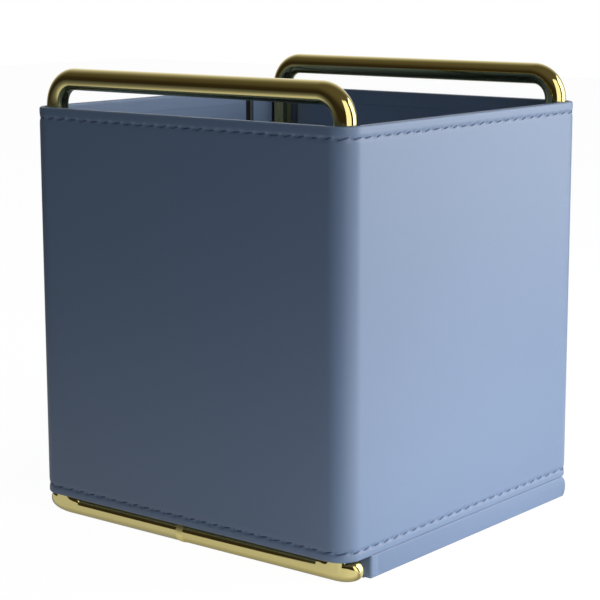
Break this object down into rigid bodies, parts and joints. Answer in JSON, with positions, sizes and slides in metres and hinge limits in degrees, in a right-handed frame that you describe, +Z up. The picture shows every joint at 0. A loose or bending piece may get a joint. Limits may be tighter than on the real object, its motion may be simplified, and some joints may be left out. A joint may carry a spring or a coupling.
{
  "type": "pen holder cup",
  "caption": "Square open-topped desk cup for pens: a stitched leather-covered sleeve on two bent gold rod frames, over a leather base panel.",
  "frame": {"origin": "on the desk, under the middle of the cup", "axes": "+Z up, +X to the right wall, -Y to the front wall with the bare foot"},
  "size_m": [0.0932, 0.092, 0.1063],
  "materials": {
    "plated_rod": "polished",
    "blue_leather": "smooth, semi-matt",
    "blue_lining": "smooth, semi-matt",
    "stiffener_board": "raw grey board",
    "dark_tape": "matt woven tape"
  },
  "bodies": {
    "root": {"front_frame": "plated_rod", "rear_frame": "plated_rod", "sleeve_skin": "blue_leather", "base_cover": "blue_leather", "sleeve_lining": "blue_lining", "base_pad": "blue_lining", "seam_tape": "dark_tape", "board_front": "stiffener_board", "board_right": "stiffener_board", "board_rear": "stiffener_board", "board_left_long": "stiffener_board", "board_left_short": "stiffener_board", "base_board": "stiffener_board"}
  },
  "joints": []
}
